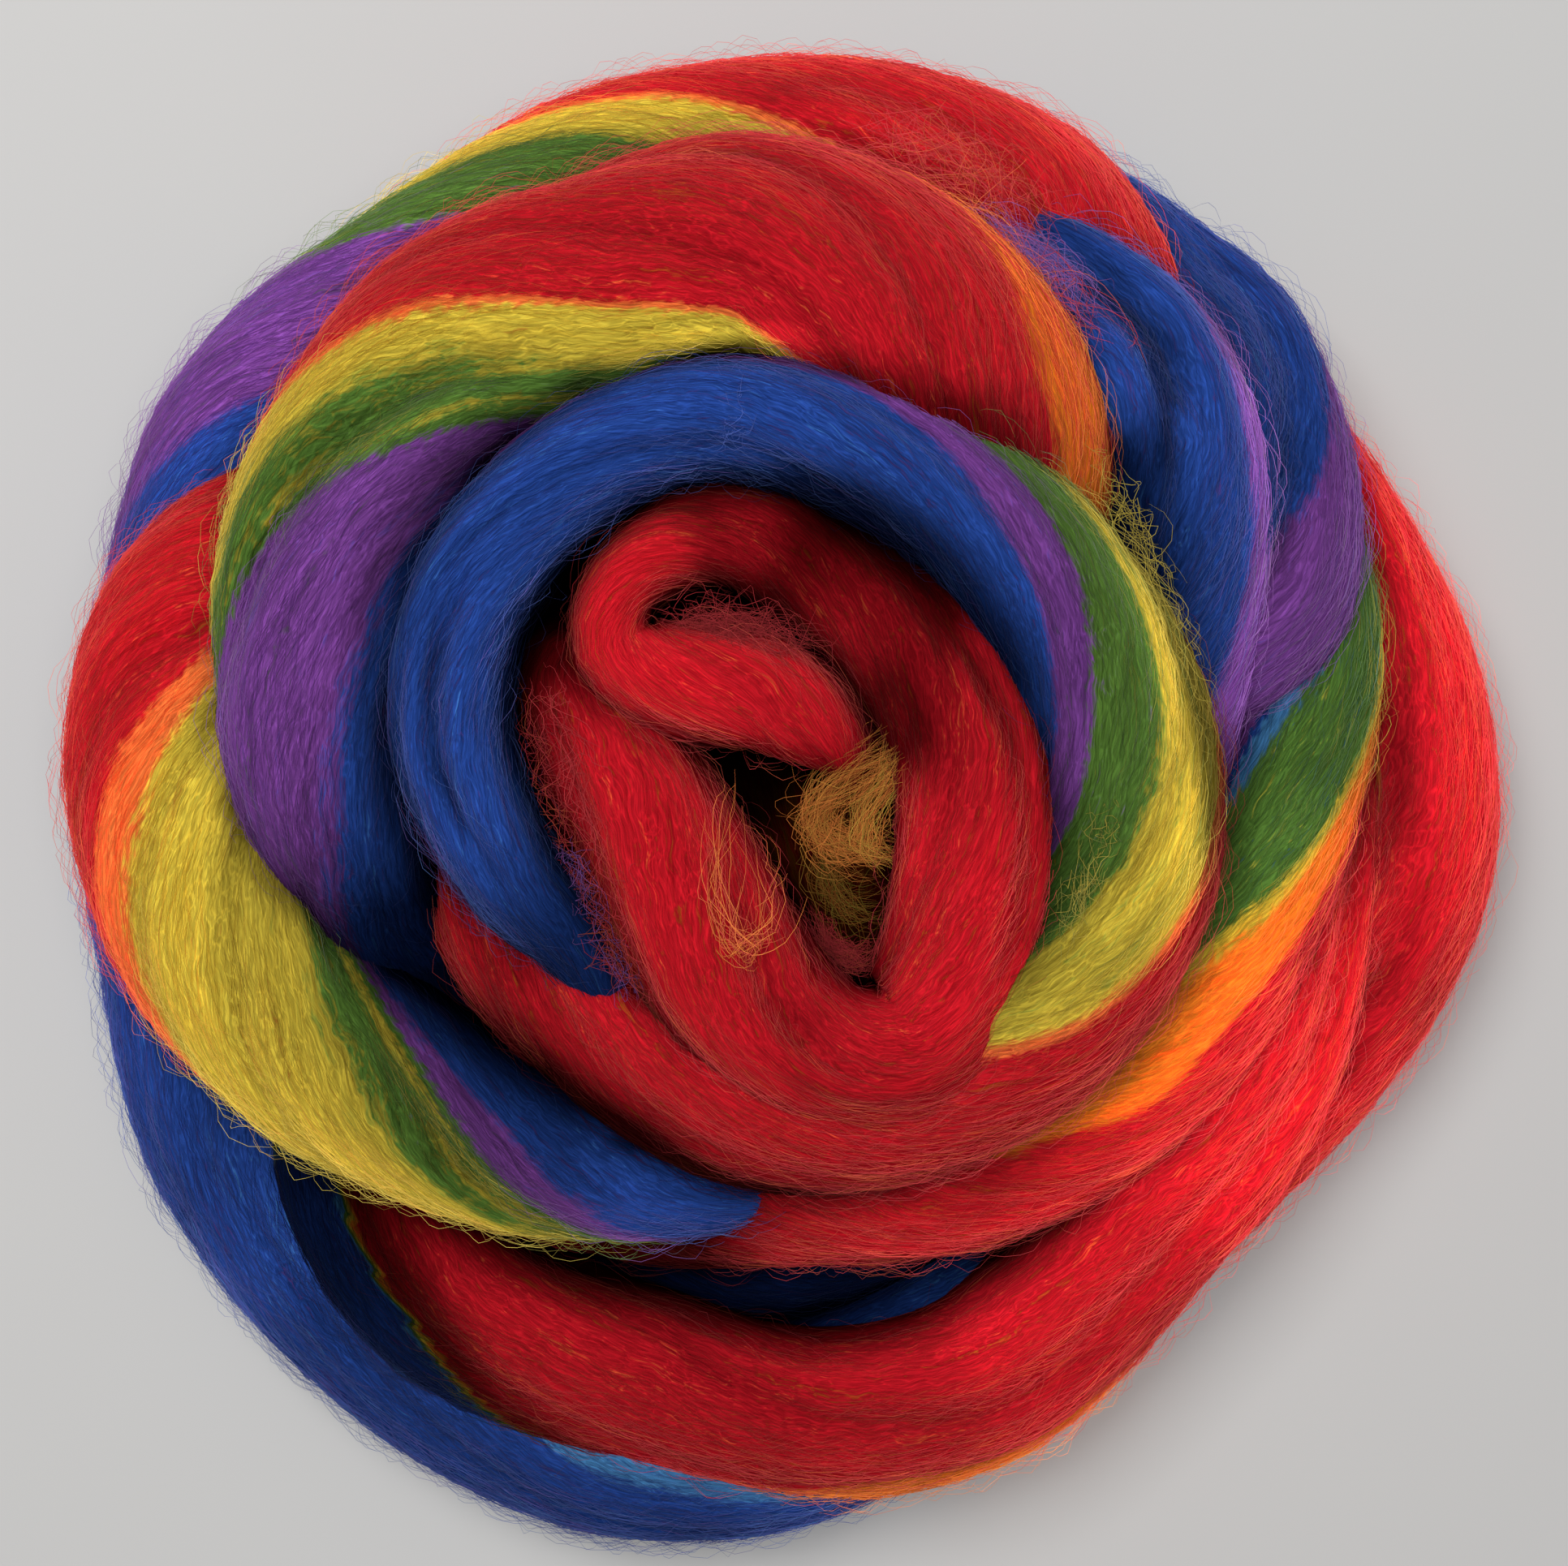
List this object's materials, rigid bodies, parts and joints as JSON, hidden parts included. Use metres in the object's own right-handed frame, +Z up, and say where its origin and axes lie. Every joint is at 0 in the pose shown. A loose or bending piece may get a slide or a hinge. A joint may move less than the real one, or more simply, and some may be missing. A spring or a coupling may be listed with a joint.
{
  "type": "wound wool roving",
  "caption": "Length of combed wool roving with broad lengthwise rainbow stripes, wound round on itself into a loose flat-based nest.",
  "frame": {"origin": "middle of the footprint, on the surface that the nest rests on", "axes": "+Z up through the nest, +X to the right and +Y away when it is seen from above as wound, the turns running anticlockwise"},
  "size_m": [0.2396, 0.2474, 0.0651],
  "materials": {
    "combed_wool": "matte combed wool, dyed in rainbow stripes"
  },
  "bodies": {
    "root": {"roving_nest": "combed_wool"}
  },
  "joints": []
}
